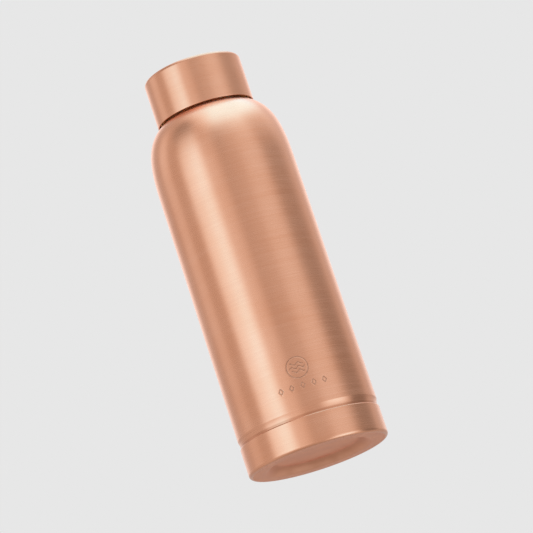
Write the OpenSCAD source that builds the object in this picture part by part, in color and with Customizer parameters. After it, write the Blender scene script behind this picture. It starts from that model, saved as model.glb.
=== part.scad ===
// Copper water bottle with a screw cap.
// Origin: centre of the foot, on the surface the bottle stands on. +Z runs up the bottle's axis.

/* [Body] */
// Height of the closed bottle
total_h = 209.5; // [200:0.5:220]
// Diameter of the base band and of the body just above it
base_d = 72; // [70:0.5:76]
// Diameter of the body where the shoulder starts
body_top_d = 71.2; // [69:0.1:71.5]
// Thickness of the copper sheet
sheet = 0.7; // [0.5:0.1:0.9]

/* [Base cup] */
// Height of the base band, up to the groove
band_h = 15.2; // [13:0.1:18]
// Height of the soft groove above the band
groove_h = 4.2; // [3:0.1:5]
// Radius of the foot's outer edge
foot_round = 1.65; // [1:0.05:2]
// Depth of the dished underside
dish_depth = 3.3; // [2.5:0.1:4]
// Diameter of the dish's flat roof
dish_d = 42; // [36:0.5:44]
// Diameter of the dish at the foot ring
dish_mouth_d = 57; // [54:0.5:60]

/* [Shoulder and neck] */
// Height of the domed shoulder
shoulder_h = 36.2; // [34:0.1:39]
// Slope of the shoulder where it meets the neck, from the vertical
shoulder_slope = 66; // [62:1:70]
// Outside diameter of the neck tube
neck_d = 40; // [39:0.5:41]

/* [Screw thread] */
// Rise of the thread in one turn
pitch = 4; // [3.8:0.1:4.2]
// Number of turns of each thread
thread_turns = 2.4; // [2:0.1:2.5]
// Height of the thread's teeth
tooth_h = 1; // [0.9:0.05:1.1]
// Gap between the threads of the neck and the cap, from crest to root
thread_gap = 0.35; // [0.3:0.05:0.4]

/* [Cap] */
// Diameter of the cap
cap_d = 50.5; // [50.5:0.1:52]
// Height of the cap
cap_h = 24.8; // [24.5:0.1:26]
// Thickness of the cap's sheet
cap_sheet = 0.8; // [0.6:0.1:0.9]
// Radius of the cap's top edge
cap_round = 1.85; // [1.5:0.05:2.2]
// Thickness of the silicone washer
washer_t = 2; // [1.8:0.1:2.2]

/* [Hidden] */
$fn = 96;

copper = "#c88761";
brass = "#c9a95c";
braze = "#d8b784";
silicone = "#e9e6df";

// Radii of the base and the body
base_r = base_d / 2;
body_top_r = body_top_d / 2;
skirt_r = base_r - sheet;
dish_r = dish_d / 2;
dish_mouth_r = dish_mouth_d / 2;
band_edge_round = 0.6;

// Skirt of the body inside the base cup, its braze fillet, and the groove just above the cup
skirt_bottom = 8.5;
skirt_fillet = 1.2;
skirt_shown = 0.4;
groove_start = band_h + skirt_shown;
groove_end = band_h + groove_h;
groove_brow = 0.85;

// Shoulder: where it runs from and to, and the lengths of its curve's two handles
cap_bottom = total_h - cap_h;
neck_in_cap = 1.5;
neck_root_z = cap_bottom + neck_in_cap;
shoulder_z = neck_root_z - shoulder_h;
body_handle = 23.3;
neck_handle = 12.5;

// Heights of the neck's lip and what closes it, down from the roof of the cap
neck_r = neck_d / 2;
cap_roof_z = total_h - cap_sheet;
liner_rim_h = 2.4;
liner_t = 0.6;
liner_z = cap_roof_z - liner_rim_h - liner_t;
washer_play = 0.1;
washer_z = liner_z - washer_play - washer_t;
lip_top = washer_z - washer_play;
curl_r = 0.9;
curl_z = lip_top - curl_r;
curl_ring_r = neck_r - sheet + curl_r;

// Threaded ring on the neck, above its braze fillet and below the lip's curl
neck_sleeve_t = 1.2;
neck_root_r = neck_r + neck_sleeve_t;
neck_crest_r = neck_root_r + tooth_h;
fillet_h = 0.9;
fillet_setback = 0.3;
fillet_start = 0.93;
neck_sleeve_z = neck_root_z + fillet_h;
curl_gap = 0.05;
neck_sleeve_top = curl_z - curl_r - curl_gap;
collar_h = 1;
chamfer = 0.4;

// Threaded ring in the cap, with a ledge over its bore that seats the washer and the liner
cap_root_r = neck_crest_r + thread_gap;
cap_r = cap_d / 2;
cap_bore_r = cap_r - cap_sheet;
hem_chamfer = 0.25;
cap_sleeve_z = neck_sleeve_z;
roof_gap = 1.3;
cap_sleeve_top = cap_roof_z - roof_gap;
seat_ledge = 0.9;
seat_depth = 0.25;
washer_seat_r = cap_root_r + seat_ledge;
washer_seat_z = washer_z - seat_depth;
washer_side_gap = 0.3;
washer_reach = 2.8;
washer_r = washer_seat_r - washer_side_gap;
washer_bore_r = neck_r - washer_reach;

// Tooth section: width at the crest and at the root, and how deep its root is sunk in the wall
tooth_crest_w = 0.9;
tooth_root_w = 2;
tooth_sink = 0.3;

// Thread: steps in a turn, share of its length that thins out at each end, and its size at the tips
tooth_steps = 36;
thin_share = 1 / 6;
tip_size = 0.02;

// Where the threads start: the neck's above its ring's foot, and the cap's below that and part of a turn on
thread_start_h = 2.6;
neck_thread_z = neck_sleeve_z + thread_start_h;
flank_offset = 1.65;
cap_thread_turn = 0.25;

// Points of an arc, from one angle to another
function arc(centre, r, from, to, steps = 8) =
    [for (i = [0:steps]) let (a = from + (to - from) * i / steps) centre + r * [cos(a), sin(a)]];

// Point of a curve with two handles
function bezier(p, t) =
    pow(1 - t, 3) * p[0] + 3 * t * pow(1 - t, 2) * p[1] + 3 * t * t * (1 - t) * p[2] + pow(t, 3) * p[3];

// The shoulder's outer line, from the body up to the neck; inset moves it inwards by the sheet
function shoulder_handles(inset) =
    let (end_normal = [cos(shoulder_slope), sin(shoulder_slope)],
         end = [neck_r, neck_root_z] - inset * end_normal,
         start = [body_top_r - inset, shoulder_z])
    [start, start + [0, body_handle],
     end + neck_handle * [sin(shoulder_slope), -cos(shoulder_slope)], end];
function shoulder(inset, from = 0, steps = 24) =
    [for (i = [0:steps]) bezier(shoulder_handles(inset), from + (1 - from) * i / steps)];

// Share of the way out from the skirt to the body: a hollow cove that ends in a small rounded brow
function cove(q) = q < groove_brow ? q * q / groove_brow : 1 - pow(1 - q, 2) / (1 - groove_brow);

// The groove above the base cup
function groove(inset, steps = 12) =
    [for (i = [0:steps])
        [skirt_r - inset + (base_r - skirt_r) * cove(i / steps),
         groove_start + (groove_end - groove_start) * i / steps]];

// The dished underside: a smooth step from the foot ring up to the flat roof
function dish(lift, steps = 10) =
    concat([for (i = [0:steps])
               [dish_mouth_r + (dish_r - dish_mouth_r) * i / steps,
                lift + dish_depth * (1 - cos(180 * i / steps)) / 2]],
           [[0, lift + dish_depth]]);

// A screw tooth wound on a wall, thinning out to nothing at both ends.
// side is 1 for a tooth that points out of the wall and -1 for one that points in.
module screw_tooth(root_r, side, z, start_turn) {
    steps = ceil(thread_turns * tooth_steps);
    function run(i) = min(1, tip_size + min(i, steps - i) / steps / thin_share);
    function ring(i) =
        let (turn = thread_turns * i / steps, a = 360 * (start_turn + turn), s = run(i),
             mid = z + pitch * (start_turn + turn),
             r0 = root_r - side * tooth_sink, r1 = root_r + side * tooth_h * s,
             w0 = tooth_root_w / 2 * s, w1 = tooth_crest_w / 2 * s)
        [for (p = [[r0, mid - w0], [r1, mid - w1], [r1, mid + w1], [r0, mid + w0]])
            [p[0] * cos(a), p[0] * sin(a), p[1]]];
    points = [for (i = [0:steps]) each ring(i)];
    sides = [for (i = [0:steps - 1]) for (k = [0:3])
        let (a = 4 * i + k, b = 4 * i + (k + 1) % 4)
        each [[a, b, b + 4], [a, b + 4, a + 4]]];
    ends = [[3, 2, 1, 0], [for (k = [0:3]) 4 * steps + k]];
    faces = concat(sides, ends);
    polyhedron(points, side < 0 ? [for (f = faces) [for (k = [len(f) - 1:-1:0]) f[k]]] : faces);
}

// Drawn copper cup: band, foot ring and dished underside
module base_cup() {
    foot = [base_r - foot_round, foot_round];
    edge = [base_r - band_edge_round, band_h - band_edge_round];
    inside = concat([[skirt_r, band_h]], arc(foot, foot_round - sheet, 0, -90), dish(sheet));
    outside = concat(arc(edge, band_edge_round, 90, 0, 4), arc(foot, foot_round, 0, -90), dish(0));
    color(copper)
    rotate_extrude()
    polygon(concat(outside, [for (i = [len(inside) - 1:-1:0]) inside[i]]));
}

// Seamless body: skirt inside the base cup, groove, tapered wall, domed shoulder, neck and curled lip
module body_shell() {
    outer = concat(
        [[skirt_r, skirt_bottom]], groove(0), shoulder(0), [[neck_r, curl_z]]);
    inner = concat(
        [[skirt_r - sheet, skirt_bottom]], groove(sheet), shoulder(sheet),
        [[neck_r - sheet, neck_root_z], [neck_r - sheet, curl_z]]);
    color(copper)
    rotate_extrude()
    union() {
        polygon(concat(outer, [for (i = [len(inner) - 1:-1:0]) inner[i]]));
        translate([curl_ring_r, curl_z]) circle(curl_r);
    }
}

// Fillet of braze that seals the skirt to the inside of the base cup
module base_braze_ring() {
    color(braze)
    rotate_extrude()
    polygon([[skirt_r, skirt_bottom - skirt_fillet], [skirt_r, skirt_bottom],
             [skirt_r - sheet, skirt_bottom]]);
}

// Brass ring on the neck with the outside thread
module neck_sleeve() {
    color(brass)
    union() {
        rotate_extrude()
        polygon([[neck_r, neck_sleeve_z], [neck_crest_r, neck_sleeve_z],
                 [neck_crest_r, neck_sleeve_z + collar_h - chamfer],
                 [neck_crest_r - chamfer, neck_sleeve_z + collar_h],
                 [neck_root_r, neck_sleeve_z + collar_h], [neck_root_r, neck_sleeve_top - chamfer],
                 [neck_root_r - chamfer, neck_sleeve_top], [neck_r, neck_sleeve_top]]);
        screw_tooth(neck_root_r, 1, neck_thread_z, 0);
    }
}

// Fillet of braze under the neck's brass ring
module neck_braze_ring() {
    color(braze)
    rotate_extrude()
    polygon(concat(shoulder(0, fillet_start, 4),
                   [[neck_r, neck_sleeve_z], [neck_crest_r - fillet_setback, neck_sleeve_z]]));
}

// Drawn copper shell of the cap
module cap_shell() {
    color(copper)
    rotate_extrude()
    polygon(concat(
        [[cap_bore_r, cap_bottom], [cap_r - hem_chamfer, cap_bottom],
         [cap_r, cap_bottom + hem_chamfer]],
        arc([cap_r - cap_round, total_h - cap_round], cap_round, 0, 90),
        [[0, total_h], [0, cap_roof_z]],
        arc([cap_r - cap_round, total_h - cap_round], cap_round - cap_sheet, 90, 0)
    ));
}

// Brass ring inside the cap, with the inside thread and the washer's seat
module cap_thread_sleeve() {
    color(brass)
    union() {
        rotate_extrude()
        polygon([[cap_root_r + chamfer, cap_sleeve_z], [cap_bore_r, cap_sleeve_z],
                 [cap_bore_r, cap_sleeve_top], [washer_seat_r, cap_sleeve_top],
                 [washer_seat_r, washer_seat_z], [cap_root_r, washer_seat_z],
                 [cap_root_r, cap_sleeve_z + chamfer]]);
        screw_tooth(cap_root_r, -1, neck_thread_z - flank_offset, cap_thread_turn);
    }
}

// Copper pan that closes the inside of the cap and presses on the washer
module cap_liner() {
    color(copper)
    rotate_extrude()
    polygon([[0, liner_z], [washer_seat_r, liner_z], [washer_seat_r, cap_roof_z],
             [washer_seat_r - liner_t, cap_roof_z], [washer_seat_r - liner_t, liner_z + liner_t],
             [0, liner_z + liner_t]]);
}

// Flat silicone washer that seals on the lip
module cap_washer() {
    color(silicone)
    rotate_extrude()
    translate([washer_bore_r, washer_z])
    square([washer_r - washer_bore_r, washer_t]);
}

base_cup();
body_shell();
base_braze_ring();
neck_sleeve();
neck_braze_ring();
cap_shell();
cap_thread_sleeve();
cap_liner();
cap_washer();
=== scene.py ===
# The looks of a copper water bottle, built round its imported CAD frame. Outlines are in millimetres, as
# (radius, height) points that run anticlockwise; lathe() turns them into metres.

import math

import bpy
import numpy as np
from mathutils import Matrix, Vector


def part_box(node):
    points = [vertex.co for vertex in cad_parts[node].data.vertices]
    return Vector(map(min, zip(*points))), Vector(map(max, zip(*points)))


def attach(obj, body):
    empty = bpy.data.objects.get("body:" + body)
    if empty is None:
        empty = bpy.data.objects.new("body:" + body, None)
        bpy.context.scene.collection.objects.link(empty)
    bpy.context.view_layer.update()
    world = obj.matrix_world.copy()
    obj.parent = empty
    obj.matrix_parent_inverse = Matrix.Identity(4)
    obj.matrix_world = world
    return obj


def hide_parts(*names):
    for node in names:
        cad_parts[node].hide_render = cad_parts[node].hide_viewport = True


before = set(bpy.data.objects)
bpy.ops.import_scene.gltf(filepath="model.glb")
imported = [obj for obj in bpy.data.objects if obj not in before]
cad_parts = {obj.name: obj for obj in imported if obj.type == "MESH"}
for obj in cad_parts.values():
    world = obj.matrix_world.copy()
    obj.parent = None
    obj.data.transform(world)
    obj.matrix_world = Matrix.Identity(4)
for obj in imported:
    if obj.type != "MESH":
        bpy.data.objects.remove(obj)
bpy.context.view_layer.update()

MM = 0.001


# ---------------------------------------------------------------- sizes
def foot_of(node):
    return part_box(node)[0].z / MM


def top_of(node):
    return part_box(node)[1].z / MM


def radius_of(node):
    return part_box(node)[1].x / MM


SHEET = 0.7
BASE_R = radius_of("base_cup")
BAND_TOP = top_of("base_cup")
FOOT_ROUND = 1.65
LIP_ROUND = 0.6
DISH_R, DISH_MOUTH_R, DISH_DEPTH = 21.0, 28.5, 3.3

SKIRT_R = BASE_R - SHEET
SKIRT_FOOT = foot_of("body_shell")
GROOVE_START, GROOVE_END = BAND_TOP + 0.4, BAND_TOP + 4.2
GROOVE_BROW = 0.85
BODY_TOP_R = 35.6
NECK_R = 20.0
NECK_ROOT = foot_of("cap_shell") + 1.5
SHOULDER_FOOT = NECK_ROOT - 36.2
SHOULDER_SLOPE = math.radians(66)
BODY_HANDLE, NECK_HANDLE = 23.3, 12.5
CURL_R = 0.9
CURL_Z = top_of("body_shell") - CURL_R
CURL_RING_R = NECK_R - SHEET + CURL_R
CURL_START, CURL_STEPS = -102.8, 24   # degrees; the curl meets the outside of the neck at its start

CAP_SHEET, CAP_ROUND, HEM_ROUND = 0.8, 1.85, 0.25
CAP_R, CAP_FOOT, CAP_TOP = radius_of("cap_shell"), foot_of("cap_shell"), top_of("cap_shell")
LINER_R, LINER_FOOT, LINER_TOP, LINER_T = radius_of("cap_liner"), foot_of("cap_liner"), top_of("cap_liner"), 0.6
WASHER_R, WASHER_BORE_R = radius_of("cap_washer"), 17.2
WASHER_FOOT, WASHER_TOP = foot_of("cap_washer"), top_of("cap_washer")

PITCH, TURNS, TOOTH_H = 4.0, 2.4, 1.0
THREAD_GAP = 0.35   # from a crest to the root that it runs in
THREAD_STEP = 0.11   # height of a row of the mesh on a threaded wall
TOOTH_ROOT_HALF, TOOTH_CREST_HALF = 1.0, 0.45
NECK_SLEEVE_FOOT, NECK_SLEEVE_TOP = foot_of("neck_sleeve"), top_of("neck_sleeve")
NECK_CREST_R = radius_of("neck_sleeve")
NECK_ROOT_R = NECK_CREST_R - TOOTH_H
COLLAR_TOP = NECK_SLEEVE_FOOT + 1
CHAMFER = 0.4
CAP_SLEEVE_R, CAP_ROOT_R = radius_of("cap_thread_sleeve"), NECK_CREST_R + THREAD_GAP
CAP_SLEEVE_FOOT, CAP_SLEEVE_TOP = foot_of("cap_thread_sleeve"), top_of("cap_thread_sleeve")
WASHER_SEAT_Z = WASHER_FOOT - 0.25
NECK_THREAD_Z = NECK_SLEEVE_FOOT + 2.6
CAP_THREAD_Z, CAP_THREAD_START = NECK_THREAD_Z - 1.65, 0.25


# ---------------------------------------------------------------- outlines
def line(a, b, step=2.0):
    """Points from a up to b, without b."""
    count = max(1, math.ceil(math.dist(a, b) / step))
    return [(a[0] + (b[0] - a[0]) * i / count, a[1] + (b[1] - a[1]) * i / count) for i in range(count)]


def path(*corners, step=2.0):
    """Points along straight runs from corner to corner, with the last corner."""
    runs = [line(a, b, step) for a, b in zip(corners, corners[1:])]
    return [point for run in runs for point in run] + [corners[-1]]


def arc(centre, radius, start, stop, steps=10):
    turns = [math.radians(start + (stop - start) * i / steps) for i in range(steps + 1)]
    return [(centre[0] + radius * math.cos(a), centre[1] + radius * math.sin(a)) for a in turns]


def bezier(p, steps):
    weights = [((1 - t) ** 3, 3 * t * (1 - t) ** 2, 3 * t * t * (1 - t), t ** 3)
               for t in (i / steps for i in range(steps + 1))]
    return [tuple(sum(w[k] * p[k][axis] for k in range(4)) for axis in (0, 1)) for w in weights]


def shoulder(inset, steps=72):
    """The dome from the body up to the neck. inset moves it inwards, by the sheet for its inner face."""
    end = (NECK_R - inset * math.cos(SHOULDER_SLOPE), NECK_ROOT - inset * math.sin(SHOULDER_SLOPE))
    handle = (end[0] + NECK_HANDLE * math.sin(SHOULDER_SLOPE), end[1] - NECK_HANDLE * math.cos(SHOULDER_SLOPE))
    start = (BODY_TOP_R - inset, SHOULDER_FOOT)
    return bezier([start, (start[0], start[1] + BODY_HANDLE), handle, end], steps)


def cove(q):
    """Share of the way out from the skirt to the body: a hollow that ends in a small rounded brow."""
    return q * q / GROOVE_BROW if q < GROOVE_BROW else 1 - (1 - q) ** 2 / (1 - GROOVE_BROW)


def groove(inset):
    """The cove from the skirt inside the base cup out to the body."""
    shares = [i / 40 for i in range(41)]
    return [(SKIRT_R - inset + SHEET * cove(q), GROOVE_START + (GROOVE_END - GROOVE_START) * q) for q in shares]


def dish(lift):
    """The underside's step up to its flat roof, and the roof in to the axis."""
    step = [(DISH_MOUTH_R + (DISH_R - DISH_MOUTH_R) * q, lift + DISH_DEPTH * (1 - math.cos(math.pi * q)) / 2)
            for q in (i / 36 for i in range(37))]
    return step + path((DISH_R - 0.7, lift + DISH_DEPTH), (0, lift + DISH_DEPTH))


# ---------------------------------------------------------------- meshes of revolution
COLUMNS = 192


def outline_normals(points):
    """Outward normals at the points, each side weighted by its length, and the distance run at each point."""
    ahead = np.roll(points, -1, 0) - points
    run = np.concatenate([[0], np.cumsum(np.linalg.norm(ahead, axis=1))[:-1]])
    side = np.stack([ahead[:, 1], -ahead[:, 0]], 1)
    both = side + np.roll(side, 1, 0)
    return both / np.maximum(np.linalg.norm(both, axis=1), 1e-9)[:, None], run


def lathe(name, outline, turns=None, relief=None, paint=None):
    """Spins a closed outline into a closed mesh with exact normals.

    relief(angle, radius, height, row) gives how far each grid point stands out along its normal, in millimetres.
    paint(angle, radius, height, row) gives the material number of the face that starts at each grid point.
    """
    turns = np.linspace(0, 2 * math.pi, COLUMNS, endpoint=False) if turns is None else np.asarray(turns)
    points = np.array(outline, float)
    normal, run = outline_normals(points)
    rows, cols = len(points), len(turns)
    angle, row = np.meshgrid(turns, np.arange(rows))
    radius, height = points[row, 0], points[row, 1]
    out = relief(angle, radius, height, row) if relief else np.zeros((rows, cols))
    r, z = radius + out * normal[row, 0], height + out * normal[row, 1]
    grid = np.stack([r * np.cos(angle), r * np.sin(angle), z], 2) * MM

    normal_r, normal_z, normal_t = normal[row, 0], normal[row, 1], np.zeros((rows, cols))
    if relief:
        along = np.gradient(out, run, axis=0)
        wrapped = np.concatenate([out[:, -1:], out, out[:, :1]], 1)
        around = np.concatenate([turns[-1:] - 2 * math.pi, turns, turns[:1] + 2 * math.pi])
        across = np.gradient(wrapped, around, axis=1)[:, 1:-1] / np.maximum(radius, 1)
        normal_r, normal_z, normal_t = (normal_r + along * normal[row, 1],
                                        normal_z - along * normal[row, 0], -across)
    normals = np.stack([normal_r * np.cos(angle) - normal_t * np.sin(angle),
                        normal_r * np.sin(angle) + normal_t * np.cos(angle), normal_z], 2)

    index = np.arange(rows * cols).reshape(rows, cols)
    for pole in np.nonzero(points[:, 0] < 1e-6)[0]:
        index[pole] = index[pole, 0]
        normals[pole] = (0, 0, math.copysign(1, normal[pole, 1]))
    low, high = index, np.roll(index, -1, 0)
    quads = np.stack([low, np.roll(low, -1, 1), np.roll(high, -1, 1), high], 2).reshape(-1, 4)
    paints = paint(angle, radius, height, row).reshape(-1) if paint else np.zeros(rows * cols, int)
    faces, slots = [], []
    for quad, slot in zip(quads.tolist(), paints.tolist()):
        corners = [v for i, v in enumerate(quad) if v != quad[i - 1]]
        if len(corners) > 2:
            faces.append(corners)
            slots.append(slot)
    used = np.unique(np.concatenate([np.array(f) for f in faces]))
    new_number = np.zeros(rows * cols, int)
    new_number[used] = np.arange(len(used))

    mesh = bpy.data.meshes.new(name)
    mesh.from_pydata(grid.reshape(-1, 3)[used].tolist(), [], [new_number[f].tolist() for f in faces])
    mesh.polygons.foreach_set("material_index", slots)
    mesh.shade_smooth()
    unit = normals.reshape(-1, 3)[used]
    unit /= np.linalg.norm(unit, axis=1)[:, None]
    mesh.normals_split_custom_set_from_vertices(unit.tolist())
    piece = bpy.data.objects.new(name, mesh)
    bpy.context.scene.collection.objects.link(piece)
    return piece


def dress(piece, body, node, slot, *materials):
    """Gives a piece its materials, its body and the CAD node that it stands for."""
    for material in materials:
        piece.data.materials.append(material)
    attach(piece, body)
    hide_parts(node)
    return piece


# ---------------------------------------------------------------- node helpers
def add(tree, kind, inputs=None, **settings):
    """A node with its settings and inputs; an input that is a socket is linked."""
    node = tree.nodes.new("ShaderNode" + kind)
    for key, value in settings.items():
        setattr(node, key, value)
    for key, value in (inputs or {}).items():
        if isinstance(value, bpy.types.NodeSocket):
            tree.links.new(value, node.inputs[key])
        else:
            node.inputs[key].default_value = value
    return node


def calc(tree, operation, *values):
    return add(tree, "Math", dict(enumerate(values)), operation=operation).outputs[0]


def remap(tree, value, low, high, to_low=0.0, to_high=1.0, smooth=True):
    kind = "SMOOTHSTEP" if smooth else "LINEAR"
    inputs = {"Value": value, "From Min": low, "From Max": high, "To Min": to_low, "To Max": to_high}
    return add(tree, "MapRange", inputs, interpolation_type=kind).outputs["Result"]


def blend(tree, share, a, b):
    """Colour a at share 0 and colour b at share 1."""
    mix = add(tree, "Mix", data_type="RGBA", blend_type="MIX")
    for key, value in ((0, share), (6, a), (7, b)):
        if isinstance(value, bpy.types.NodeSocket):
            tree.links.new(value, mix.inputs[key])
        else:
            mix.inputs[key].default_value = value if key == 0 else (*value, 1)
    return mix.outputs[2]


def noise(tree, vector, scale=1.0, detail=3.0, roughness=0.55):
    inputs = {"Vector": vector, "Scale": scale, "Detail": detail, "Roughness": roughness}
    return add(tree, "TexNoise", inputs).outputs[0]


def place(tree):
    """Object coordinates, their parts and the distance from the bottle's axis, in metres."""
    coords = add(tree, "TexCoord").outputs["Object"]
    parts = add(tree, "SeparateXYZ", {0: coords}).outputs
    distance = calc(tree, "MAXIMUM", calc(tree, "SQRT", calc(tree, "ADD", calc(tree, "POWER", parts[0], 2.0),
                    calc(tree, "POWER", parts[1], 2.0))), 1e-4)
    return coords, parts[0], parts[1], parts[2], distance


def round_axis(tree, where, along, across):
    """A vector whose noise runs in long streaks round the axis: along is streaks per turn, across per metre."""
    _, x, y, z, distance = where
    level = calc(tree, "MULTIPLY", calc(tree, "SUBTRACT", z, distance), across)
    inputs = {0: calc(tree, "MULTIPLY", calc(tree, "DIVIDE", x, distance), along),
              1: calc(tree, "MULTIPLY", calc(tree, "DIVIDE", y, distance), along), 2: level}
    return add(tree, "CombineXYZ", inputs).outputs[0]


def new_material(name):
    material = bpy.data.materials.new(name)
    material.use_nodes = True
    tree = material.node_tree
    return material, tree, tree.nodes["Principled BSDF"]


def finish_metal(tree, shader, colour, roughness, height, depth, anisotropy=0.0):
    """Joins up a metal: colour, roughness and a bump that is depth metres deep."""
    bump = add(tree, "Bump", {"Height": height, "Strength": 1.0, "Distance": depth})
    tree.links.new(colour, shader.inputs["Base Color"])
    tree.links.new(roughness, shader.inputs["Roughness"])
    tree.links.new(bump.outputs[0], shader.inputs["Normal"])
    shader.inputs["Metallic"].default_value = 1.0
    if anisotropy:
        tangent = add(tree, "Tangent", direction_type="RADIAL", axis="Z")
        tree.links.new(tangent.outputs[0], shader.inputs["Tangent"])
        shader.inputs["Anisotropic"].default_value = anisotropy
        shader.inputs["Anisotropic Rotation"].default_value = 0.25


# ---------------------------------------------------------------- materials
COPPER = (0.92, 0.42, 0.25)
COPPER_DEEP = (0.84, 0.35, 0.19)
COPPER_PALE = (0.95, 0.48, 0.31)
COPPER_DULL = (0.40, 0.10, 0.03)   # painted shade, darkening creases, edges and the step of the foot's recess
COPPER_EDGE = (1.0, 0.87, 0.83, 1)   # tint of the glare seen at a low angle
CREASES = (
    # rings of painted shade on the brushed copper (the crease above the band, the band's lip, the cap's top edge):
    # lowest and highest height in mm, fade in mm, share of the shade colour
    (BAND_TOP - 0.05, BAND_TOP + 1.15, 0.8, 0.36),
    (BAND_TOP - 0.55, BAND_TOP - 0.1, 0.2, 0.32),
    (CAP_TOP - CAP_ROUND, CAP_TOP - 0.2, 0.4, 0.16),
)


def dull_creases(tree, height, colour):
    """Paints shade into a colour in the listed rings: a shadowed crease above the band, and dimmed highlights on the
    band's lip and the cap's top edge.
    """
    for low, high, fade, dull in CREASES:
        rise = remap(tree, height, (low - fade / 2) * MM, (low + fade / 2) * MM)
        fall = remap(tree, height, (high - fade / 2) * MM, (high + fade / 2) * MM)
        share = calc(tree, "MULTIPLY", calc(tree, "SUBTRACT", rise, fall), dull)
        colour = blend(tree, share, colour, COPPER_DULL)
    return colour


def brushed_copper(name, roughness, streak, anisotropy):
    """Copper sheet brushed round the bottle: fine streaks, broader tool bands, a faint cloudiness and rings of
    painted shade.
    """
    material, tree, shader = new_material(name)
    where = place(tree)
    fine = noise(tree, round_axis(tree, where, 1.2, 2600), detail=3, roughness=0.6)
    broad = noise(tree, round_axis(tree, where, 1.1, 420), detail=3, roughness=0.6)
    cloud = noise(tree, where[0], scale=38, detail=3)
    tone = calc(tree, "ADD", calc(tree, "MULTIPLY", broad, 0.3), calc(tree, "MULTIPLY", cloud, 0.7))
    colour = blend(tree, remap(tree, tone, 0.3, 0.7), COPPER_DEEP, COPPER_PALE)
    # painted shade in the crease above the band, on the band's lip and round the cap's top edge
    colour = dull_creases(tree, where[3], blend(tree, 0.7, colour, COPPER))
    rough = calc(tree, "ADD", remap(tree, fine, 0.25, 0.75, roughness - streak, roughness + streak),
                 remap(tree, broad, 0.3, 0.7, -streak / 3, streak / 3))
    height = calc(tree, "MULTIPLY_ADD", broad, 0.4, fine)
    finish_metal(tree, shader, colour, rough, height, 1e-6, anisotropy=anisotropy)
    return material


def satin_copper(name, colour_a, colour_b, roughness, tarnish=0.0):
    """Copper left as drawn and pickled: dull, finely grained, with soft blotches.

    The last argument is the share of painted shade that darkens the step of the foot's recess.
    """
    material, tree, shader = new_material(name)
    where = place(tree)
    grain = noise(tree, where[0], scale=2600, detail=3)
    blotch = noise(tree, where[0], scale=110, detail=4, roughness=0.6)
    colour = blend(tree, remap(tree, blotch, 0.35, 0.65), colour_a, colour_b)
    if tarnish:
        # painted shade on the step of the foot's recess
        rise = remap(tree, where[4], (DISH_R - 1.0) * MM, (DISH_R + 1.5) * MM)
        fall = remap(tree, where[4], (DISH_R + 2.0) * MM, (DISH_MOUTH_R - 1.5) * MM)
        share = calc(tree, "MULTIPLY", calc(tree, "SUBTRACT", rise, fall), tarnish)
        colour = blend(tree, share, colour, COPPER_DULL)
    rough = remap(tree, blotch, 0.3, 0.7, roughness - 0.05, roughness + 0.06)
    finish_metal(tree, shader, colour, rough, grain, 6e-6)
    shader.inputs["Specular Tint"].default_value = COPPER_EDGE
    return material


def turned_brass(name):
    """Brass with the fine rings of the lathe tool."""
    material, tree, shader = new_material(name)
    where = place(tree)
    rings = noise(tree, round_axis(tree, where, 0.6, 5200), detail=2)
    blotch = noise(tree, where[0], scale=140, detail=3)
    colour = blend(tree, remap(tree, blotch, 0.3, 0.7), (0.88, 0.50, 0.16), (0.96, 0.59, 0.23))
    rough = remap(tree, rings, 0.3, 0.7, 0.22, 0.34)
    finish_metal(tree, shader, colour, rough, rings, 5e-6, anisotropy=0.4)
    return material


def flowed_braze(name):
    """Braze alloy as it set: a slightly rippled pale skin."""
    material, tree, shader = new_material(name)
    where = place(tree)
    ripple = noise(tree, where[0], scale=420, detail=2)
    colour = blend(tree, remap(tree, ripple, 0.35, 0.65), (0.86, 0.55, 0.27), (0.96, 0.68, 0.38))
    rough = remap(tree, ripple, 0.3, 0.7, 0.32, 0.48)
    finish_metal(tree, shader, colour, rough, ripple, 6e-5)
    return material


def soft_silicone(name):
    """Translucent white silicone with a faint moulded grain."""
    material, tree, shader = new_material(name)
    where = place(tree)
    grain = noise(tree, where[0], scale=2200, detail=3)
    cloud = noise(tree, where[0], scale=160, detail=2)
    colour = blend(tree, remap(tree, cloud, 0.3, 0.7), (0.84, 0.80, 0.74), (0.90, 0.86, 0.80))
    bump = add(tree, "Bump", {"Height": grain, "Strength": 1.0, "Distance": 8e-6})
    tree.links.new(colour, shader.inputs["Base Color"])
    tree.links.new(remap(tree, grain, 0.3, 0.7, 0.42, 0.55), shader.inputs["Roughness"])
    tree.links.new(bump.outputs[0], shader.inputs["Normal"])
    shader.inputs["Subsurface Weight"].default_value = 0.15
    shader.inputs["Subsurface Radius"].default_value = (0.002, 0.0018, 0.0015)
    return material


copper = brushed_copper("brushed_copper", roughness=0.26, streak=0.035, anisotropy=0.6)
cap_copper = brushed_copper("brushed_copper_cap", roughness=0.29, streak=0.02, anisotropy=0.65)
inner_copper = satin_copper("inner_copper", (0.78, 0.34, 0.20), (0.88, 0.43, 0.27), roughness=0.42)
# the underside's recess step gets painted shade
base_copper = satin_copper("underside_copper", (0.87, 0.41, 0.25), (0.92, 0.45, 0.28), roughness=0.40,
                           tarnish=0.32)
etched_copper = satin_copper("etched_copper", (0.50, 0.22, 0.13), (0.60, 0.28, 0.17), roughness=0.5)
brass = turned_brass("turned_brass")
braze = flowed_braze("flowed_braze")
silicone = soft_silicone("soft_silicone")


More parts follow.
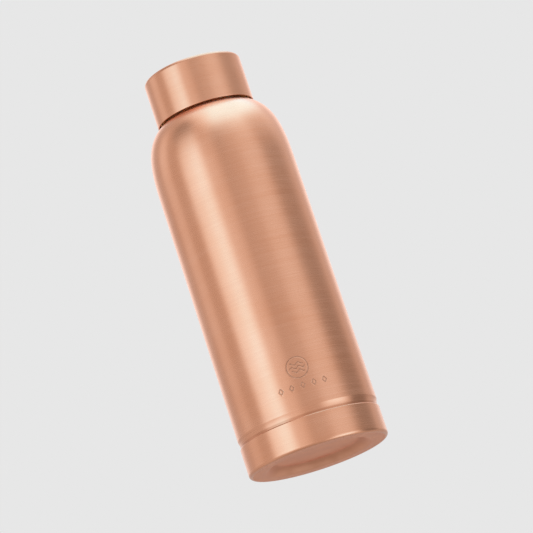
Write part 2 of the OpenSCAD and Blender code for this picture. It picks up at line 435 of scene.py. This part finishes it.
# ---------------------------------------------------------------- base cup
def base_cup():
    foot = (BASE_R - FOOT_ROUND, FOOT_ROUND)
    lip = (BASE_R - LIP_ROUND, BAND_TOP - LIP_ROUND)
    outside = (dish(0)[::-1] + line((DISH_MOUTH_R + 0.4, 0), (foot[0] - 0.1, 0), 0.8)
               + arc(foot, FOOT_ROUND, -90, 0, 16)
               + path((BASE_R, FOOT_ROUND + 0.1), (BASE_R, lip[1] - 0.1), step=1) + arc(lip, LIP_ROUND, 0, 90, 12))
    inside = [(SKIRT_R, BAND_TOP)] + arc(foot, FOOT_ROUND - SHEET, 0, -90) + dish(SHEET)

    def paint(angle, radius, height, row):
        below = np.where(radius < foot[0] - 0.5, 2, 0)
        return np.where(row >= len(outside), 1, below)
    piece = lathe("base_cup_copper", outside + inside, paint=paint)
    return dress(piece, "bottle", "base_cup", "brushed_copper", copper, inner_copper, base_copper)


# ---------------------------------------------------------------- body, with a small generic mark cut into it
MARK_TURN = math.radians(5.6 - 90)
MARK_Z = 39.0
RING_R = 5.3
STROKE, STROKE_EDGE = 0.44, 0.2
MARK_DEPTH = 0.07
GEM_Z, GEM_HALF_W, GEM_HALF_H, GEM_STEP, GEM_COUNT = 29.8, 1.1, 1.5, 5.6, 5
WAVES = ((1.9, 3.0), (0.0, 3.7), (-1.9, 3.0))   # level over the ring's centre, half length
WAVE_RISE, WAVE_LENGTH, WAVE_SLANT = 0.55, 3.7, 0.8   # slant turns a height over a wave into a distance from it
MARK_HALF_W, MARK_LOW, MARK_HIGH = 13.5, 28.4, 45.2
MARK_GRID = 0.2
PLAIN_COLUMNS = 190   # columns of the body's mesh away from the mark


def mark_distance(angle, height):
    """Distance in millimetres, over the surface, to the nearest stroke of the ring, its waves or the lozenges."""
    across = (angle - MARK_TURN + math.pi) % (2 * math.pi) - math.pi
    u, v = across * BASE_R, height - MARK_Z
    near = np.abs(np.hypot(u, v) - RING_R)
    for level, half in WAVES:
        wave = np.abs(v - level - WAVE_RISE * np.sin(2 * math.pi * u / WAVE_LENGTH)) * WAVE_SLANT
        near = np.minimum(near, np.hypot(wave, np.maximum(np.abs(u) - half, 0)))
    for k in range(GEM_COUNT):
        centre = (k - (GEM_COUNT - 1) / 2) * GEM_STEP
        ratio = np.abs(u - centre) / GEM_HALF_W + np.abs(height - GEM_Z) / GEM_HALF_H
        near = np.minimum(near, np.abs(ratio - 1) / math.hypot(1 / GEM_HALF_W, 1 / GEM_HALF_H))
    return near


def body_turns():
    """Columns round the body: fine across the mark, wider elsewhere."""
    half = MARK_HALF_W / BASE_R
    fine = np.arange(-half, half, MARK_GRID / BASE_R)
    wide = np.linspace(half, 2 * math.pi - half, PLAIN_COLUMNS, endpoint=False)
    return np.sort((np.concatenate([fine, wide]) + MARK_TURN) % (2 * math.pi))


def body_shell():
    def wall(z):
        share = (z - GROOVE_END) / (SHOULDER_FOOT - GROOVE_END)
        return (BASE_R + (BODY_TOP_R - BASE_R) * share, z)
    straight = (line(wall(GROOVE_END + 0.15), wall(MARK_LOW), 1) + line(wall(MARK_LOW), wall(MARK_HIGH), MARK_GRID)
                + line(wall(MARK_HIGH), wall(SHOULDER_FOOT - 1), 4))
    curl = arc((CURL_RING_R, CURL_Z), CURL_R, CURL_START, 180, CURL_STEPS)
    outside = (path((SKIRT_R, SKIRT_FOOT), (SKIRT_R, GROOVE_START - 0.1)) + groove(0) + straight + shoulder(0)
               + line((NECK_R, NECK_ROOT + 0.5), (NECK_R, CURL_Z - CURL_R), 2) + curl)
    inside = (path((NECK_R - SHEET, NECK_ROOT), (NECK_R - SHEET, CURL_Z - 0.1))[::-1]
              + shoulder(SHEET, 24)[::-1] + groove(SHEET)[::-1] + [(SKIRT_R - SHEET, SKIRT_FOOT)])

    def relief(angle, radius, height, row):
        beyond = (STROKE + STROKE_EDGE) / 2 - mark_distance(angle, height)
        cut = np.clip(beyond / STROKE_EDGE, 0, 1)
        return np.where(row < len(outside), -MARK_DEPTH * cut * cut * (3 - 2 * cut), 0)

    def paint(angle, radius, height, row):
        in_stroke = mark_distance(angle, height) < STROKE / 2
        return np.where(row >= len(outside) - CURL_STEPS // 2, 1, np.where(in_stroke, 2, 0))
    piece = lathe("body_copper", outside + inside, turns=body_turns(), relief=relief, paint=paint)
    return dress(piece, "bottle", "body_shell", "brushed_copper", copper, inner_copper, etched_copper)


# ---------------------------------------------------------------- threads and fillets
def screw_tooth(angle, height, first_z, first_turn):
    """Height of a thread's tooth at each point: a rounded trapezoid that thins out at both ends."""
    tall = np.zeros_like(angle)
    for k in range(-1, math.ceil(first_turn + TURNS) + 1):
        turn = angle / (2 * math.pi) + k
        share = (turn - first_turn) / TURNS
        size = np.clip(6 * np.minimum(share, 1 - share), 0, 1)
        beside = np.abs(height - first_z - PITCH * turn)
        root, crest = TOOTH_ROOT_HALF * size, TOOTH_CREST_HALF * size
        flank = np.clip((root - beside) / np.maximum(root - crest, 1e-6), 0, 1)
        tall = np.maximum(tall, np.where(size > 0, TOOTH_H * size * flank, 0))
    return tall


def neck_sleeve():
    wall = path((NECK_ROOT_R, COLLAR_TOP + 0.15), (NECK_ROOT_R, NECK_SLEEVE_TOP - CHAMFER), step=THREAD_STEP)
    foot = (line((NECK_R, NECK_SLEEVE_FOOT), (NECK_CREST_R - 0.2, NECK_SLEEVE_FOOT), 0.8)
            + arc((NECK_CREST_R - 0.2, NECK_SLEEVE_FOOT + 0.2), 0.2, -90, 0, 4)
            + arc((NECK_CREST_R - CHAMFER, COLLAR_TOP - CHAMFER), CHAMFER, 0, 90, 6)
            + [(NECK_ROOT_R + 0.15, COLLAR_TOP), (NECK_ROOT_R + 0.04, COLLAR_TOP + 0.04)])
    top = [(NECK_ROOT_R - CHAMFER, NECK_SLEEVE_TOP), (NECK_R, NECK_SLEEVE_TOP)]

    def relief(angle, radius, height, row):
        on_wall = (row > len(foot)) & (row < len(foot) + len(wall) - 1)
        return np.where(on_wall, screw_tooth(angle, height, NECK_THREAD_Z, 0), 0)
    piece = lathe("neck_thread_ring", foot + wall + top, relief=relief)
    return dress(piece, "bottle", "neck_sleeve", "turned_brass", brass)


def cap_thread_sleeve():
    seat = [(LINER_R, CAP_SLEEVE_TOP), (LINER_R, WASHER_SEAT_Z), (CAP_ROOT_R + 0.1, WASHER_SEAT_Z)]
    wall = path((CAP_ROOT_R, WASHER_SEAT_Z - 0.1), (CAP_ROOT_R, CAP_SLEEVE_FOOT + CHAMFER), step=THREAD_STEP)
    foot = [(CAP_ROOT_R + CHAMFER, CAP_SLEEVE_FOOT), (CAP_SLEEVE_R, CAP_SLEEVE_FOOT)]

    def relief(angle, radius, height, row):
        on_wall = (row > len(seat)) & (row < len(seat) + len(wall) - 1)
        return np.where(on_wall, screw_tooth(angle, height, CAP_THREAD_Z, CAP_THREAD_START), 0)
    piece = lathe("cap_thread_ring", seat + wall + foot + [(CAP_SLEEVE_R, CAP_SLEEVE_TOP)], relief=relief)
    return dress(piece, "cap", "cap_thread_sleeve", "turned_brass", brass)


def neck_braze_ring():
    """A hollow-faced fillet between the shoulder and the threaded ring."""
    under = [p for p in shoulder(0) if p[0] < NECK_CREST_R - 0.05][::-1]
    tip = (NECK_CREST_R - 0.05, under[-1][1] - 0.02)
    high = (NECK_CREST_R - 0.4, NECK_SLEEVE_FOOT)
    face = bezier([under[-1], (tip[0] - 0.35, tip[1] + 0.5), (high[0] - 0.1, high[1] - 0.5), high], 10)
    piece = lathe("neck_braze_fillet", under[:-1] + face + [(NECK_R, NECK_SLEEVE_FOOT)])
    return dress(piece, "bottle", "neck_braze_ring", "braze", braze)


def base_braze_ring():
    """The hollow-faced fillet under the body's skirt, inside the base cup."""
    foot = foot_of("base_braze_ring")
    face = bezier([(SKIRT_R - SHEET, SKIRT_FOOT), (SKIRT_R - 0.35, SKIRT_FOOT - 0.1),
                   (SKIRT_R - 0.1, foot + 0.4), (SKIRT_R, foot)], 10)
    piece = lathe("base_braze_fillet", face + [(SKIRT_R, SKIRT_FOOT)])
    return dress(piece, "bottle", "base_braze_ring", "braze", braze)


# ---------------------------------------------------------------- cap
def cap_shell():
    bore = CAP_R - CAP_SHEET
    corner = (CAP_R - CAP_ROUND, CAP_TOP - CAP_ROUND)
    hem = (CAP_R - HEM_ROUND, CAP_FOOT + HEM_ROUND)
    outside = ([(bore + HEM_ROUND, CAP_FOOT)] + arc(hem, HEM_ROUND, -90, 0, 6)
               + path((CAP_R, hem[1] + 0.1), (CAP_R, corner[1] - 0.1)) + arc(corner, CAP_ROUND, 0, 90, 20)
               + path((corner[0] - 0.1, CAP_TOP), (0, CAP_TOP)))
    inside = (path((0, CAP_TOP - CAP_SHEET), (corner[0] - 0.1, CAP_TOP - CAP_SHEET))
              + arc(corner, CAP_ROUND - CAP_SHEET, 90, 0) + path((bore, corner[1] - 0.1), (bore, hem[1])))

    def paint(angle, radius, height, row):
        return np.where(row < len(outside), 0, 1)
    piece = lathe("cap_copper", outside + inside, paint=paint)
    return dress(piece, "cap", "cap_shell", "brushed_copper", cap_copper, inner_copper)


def cap_liner():
    bend = (LINER_R - LINER_T, LINER_FOOT + LINER_T)
    outside = (path((0, LINER_FOOT), (bend[0] - 0.1, LINER_FOOT)) + arc(bend, LINER_T, -90, 0, 6)
               + [(LINER_R, bend[1] + 0.1), (LINER_R, LINER_TOP)])
    inside = [(bend[0], LINER_TOP), bend, (0, bend[1])]
    piece = lathe("cap_liner_copper", outside + inside)
    return dress(piece, "cap", "cap_liner", "brushed_copper", inner_copper)


def cap_washer():
    soft = 0.3
    corners = [(WASHER_R - soft, WASHER_FOOT + soft, -90), (WASHER_R - soft, WASHER_TOP - soft, 0),
               (WASHER_BORE_R + soft, WASHER_TOP - soft, 90), (WASHER_BORE_R + soft, WASHER_FOOT + soft, 180)]
    outline = [p for x, z, start in corners for p in arc((x, z), soft, start, start + 90, 6)]
    piece = lathe("cap_silicone_washer", outline)
    return dress(piece, "seal", "cap_washer", "silicone", silicone)


# ---------------------------------------------------------------- studio
def elevation_ramp(tree, height, middle, soft):
    """Rises from 0 to 1 as a direction climbs past the middle elevation, within soft degrees of it."""
    low, high = math.sin(math.radians(middle - soft)), math.sin(math.radians(middle + soft))
    return remap(tree, height, low, high)


def toward(tree, direction, azimuth, elevation, inner, outer):
    """1 within inner degrees of a direction, 0 beyond outer degrees."""
    a, e = math.radians(azimuth), math.radians(elevation)
    centre = (math.sin(a) * math.cos(e), -math.cos(a) * math.cos(e), math.sin(e))
    facing = add(tree, "VectorMath", {0: direction, 1: centre}, operation="DOT_PRODUCT").outputs["Value"]
    return remap(tree, facing, math.cos(math.radians(outer)), math.cos(math.radians(inner)))


AMBIENT = 0.58
STRIPS = [
    # upright soft boxes: azimuth, inner and outer half width, low edge, high edge, edge softness, strength
    (-48, 8, 27, -22, 32, 24, 0.86),
    (-26, 0, 30, -40, 32, 24, 0.40),
    (49, 4, 22, -80, 80, 10, 0.05),
    (45, 8, 34, 17, 40, 8, 0.12),
    (85, 15, 60, 22, 46, 8, 0.28),
    (58, 8, 32, -58, 4, 14, 0.62),
    (130, 8, 28, 16, 45, 8, 0.20),
    (-107, 3, 16, 12, 46, 10, 0.36),
    (97, 8, 32, -50, 17, 8, -0.32),
    (180, 40, 75, -80, -4, 8, -0.10),
]
SPOTS = [
    # soft round lights and, below zero, shades: azimuth, elevation, inner and outer half width, strength
    (78, -52, 4, 32, 0.50),
    (62, -28, 4, 22, 0.30),
    (0, -90, 10, 45, -0.10),
    (-58, 47, 4, 24, -0.28),
    (0, 88, 5, 30, 0.24),
    (125, 62, 10, 45, 0.14),
    (-48, 28, 4, 18, 0.14),
    (-9, 34, 6, 26, -0.12),
    (76, 26, 3, 18, -0.06),
    (-15, 65, 2, 24, 0.24),
    (60, 75, 4, 28, -0.16),
]
OVERHEAD = (41, 11, 1.38)   # elevation where the light from above starts, edge softness, strength
FLAGS = [(-72, 35, 26, 65), (-132, 44, 8, 38)]   # shades before it: azimuth, elevation, inner and outer half width
BACK = (180, 16, 42, 8, 36, 8, 0.58)   # a neutral strip behind, in the same order as in STRIPS
COOLING = (0.62, 2.0)   # light between these levels turns from white to the cool white below
COOL_RED, COOL_BLUE = 0.53, 1.36


def light_studio():
    """A world of soft boxes. Azimuth runs from the front (-Y) round by the right side (+X)."""
    world = bpy.data.worlds.new("soft_studio")
    bpy.context.scene.world = world
    world.use_nodes = True
    tree = world.node_tree
    direction = add(tree, "TexCoord").outputs["Generated"]
    height = add(tree, "SeparateXYZ", {0: direction}).outputs[2]
    flattened = add(tree, "VectorMath", {0: direction, 1: (1, 1, 0)}, operation="MULTIPLY").outputs[0]
    level = add(tree, "VectorMath", {0: flattened}, operation="NORMALIZE").outputs[0]

    def strip(azimuth, inner, outer, low, high, soft):
        across = toward(tree, level, azimuth, 0, inner, outer)
        above_low = elevation_ramp(tree, height, low, soft)
        below_high = calc(tree, "SUBTRACT", 1.0, elevation_ramp(tree, height, high, soft))
        return calc(tree, "MULTIPLY", across, calc(tree, "MULTIPLY", above_low, below_high))

    total = AMBIENT
    for *shape, strength in STRIPS:
        total = calc(tree, "MULTIPLY_ADD", strip(*shape), strength, total)
    middle, soft, strength = OVERHEAD
    share = elevation_ramp(tree, height, middle, soft)
    for flag in FLAGS:
        share = calc(tree, "MULTIPLY", share, calc(tree, "SUBTRACT", 1.0, toward(tree, direction, *flag)))
    total = calc(tree, "MULTIPLY_ADD", share, strength, total)
    for azimuth, elevation, inner, outer, strength in SPOTS:
        total = calc(tree, "MULTIPLY_ADD", toward(tree, direction, azimuth, elevation, inner, outer), strength, total)
    red = remap(tree, total, *COOLING, 1.0, COOL_RED, smooth=False)
    blue = remap(tree, total, *COOLING, 1.0, COOL_BLUE, smooth=False)
    back = calc(tree, "MULTIPLY", strip(*BACK[:-1]), BACK[-1])
    parts = {i: calc(tree, "MULTIPLY_ADD", total, tint, back) for i, tint in enumerate((red, 1.0, blue))}
    light = add(tree, "CombineColor", parts).outputs[0]
    tree.links.new(light, tree.nodes["Background"].inputs["Color"])


def stage_mesh(name, verts, faces, seen_by=()):
    """A floor or backdrop that only the camera sees, and any other kinds of ray named in seen_by."""
    mesh = bpy.data.meshes.new(name)
    mesh.from_pydata(verts, [], faces)
    stage = bpy.data.objects.new(name, mesh)
    bpy.context.scene.collection.objects.link(stage)
    for ray in ("glossy", "diffuse", "transmission", "shadow", "volume_scatter"):
        setattr(stage, "visible_" + ray, ray in seen_by)
    material = bpy.data.materials.new(name)
    material.use_nodes = True
    mesh.materials.append(material)
    return material.node_tree


BACKDROP_GREY = 0.799
BACKDROP_FAR, FLOOR_FAR = 5.0, 4.95
FLOOR_COLOUR = (0.93, 0.68, 0.57, 1)   # comes out as pale as the backdrop, and neutral, under the cool light


def backdrop():
    """A pale shell far round everything."""
    far = BACKDROP_FAR
    corners = [(x, y, z) for x in (-far, far) for y in (-far, far) for z in (-far, far)]
    sides = [(0, 1, 3, 2), (4, 6, 7, 5), (0, 4, 5, 1), (2, 3, 7, 6), (0, 2, 6, 4), (1, 5, 7, 3)]
    tree = stage_mesh("pale_backdrop", corners, sides)
    glow = add(tree, "Emission", {"Color": (BACKDROP_GREY, BACKDROP_GREY, BACKDROP_GREY, 1)})
    tree.links.new(glow.outputs[0], tree.nodes["Material Output"].inputs["Surface"])


def floor():
    """A pale floor under the foot that can be seen from above only, because the camera looks up from below it."""
    far = FLOOR_FAR
    tree = stage_mesh("pale_floor", [(-far, -far, 0), (far, -far, 0), (far, far, 0), (-far, far, 0)], [(0, 1, 2, 3)])
    shade = add(tree, "BsdfDiffuse", {"Color": FLOOR_COLOUR})
    clear = add(tree, "BsdfTransparent")
    below = add(tree, "NewGeometry").outputs["Backfacing"]
    mix = add(tree, "MixShader", {0: below, 1: shade.outputs[0], 2: clear.outputs[0]})
    tree.links.new(mix.outputs[0], tree.nodes["Material Output"].inputs["Surface"])


CAMERA_BELOW = math.radians(13.68)
CAMERA_ROLL = math.radians(18.35)
CAMERA_DISTANCE = 1.6146
CAMERA_LENS = 218.2
AIM = Vector((0.00488, 0, 0.1002))


def place_camera():
    """Looks up at the bottle from in front and below, rolled so that the bottle leans to the left."""
    ahead = Vector((0, math.cos(CAMERA_BELOW), math.sin(CAMERA_BELOW)))
    level_right = Vector((1, 0, 0))
    level_up = level_right.cross(ahead)
    right = math.cos(CAMERA_ROLL) * level_right - math.sin(CAMERA_ROLL) * level_up
    up = math.sin(CAMERA_ROLL) * level_right + math.cos(CAMERA_ROLL) * level_up
    camera = bpy.data.objects.new("camera", bpy.data.cameras.new("camera"))
    bpy.context.scene.collection.objects.link(camera)
    camera.data.lens = CAMERA_LENS
    camera.data.sensor_width = 36
    turn = Matrix((right, up, -ahead)).transposed().to_4x4()
    camera.matrix_world = Matrix.Translation(AIM - CAMERA_DISTANCE * ahead) @ turn
    bpy.context.scene.camera = camera


place_camera()
light_studio()
backdrop()
floor()
base_cup()
body_shell()
base_braze_ring()
neck_sleeve()
neck_braze_ring()
cap_shell()
cap_thread_sleeve()
cap_liner()
cap_washer()
bpy.context.scene.view_settings.view_transform = "Standard"
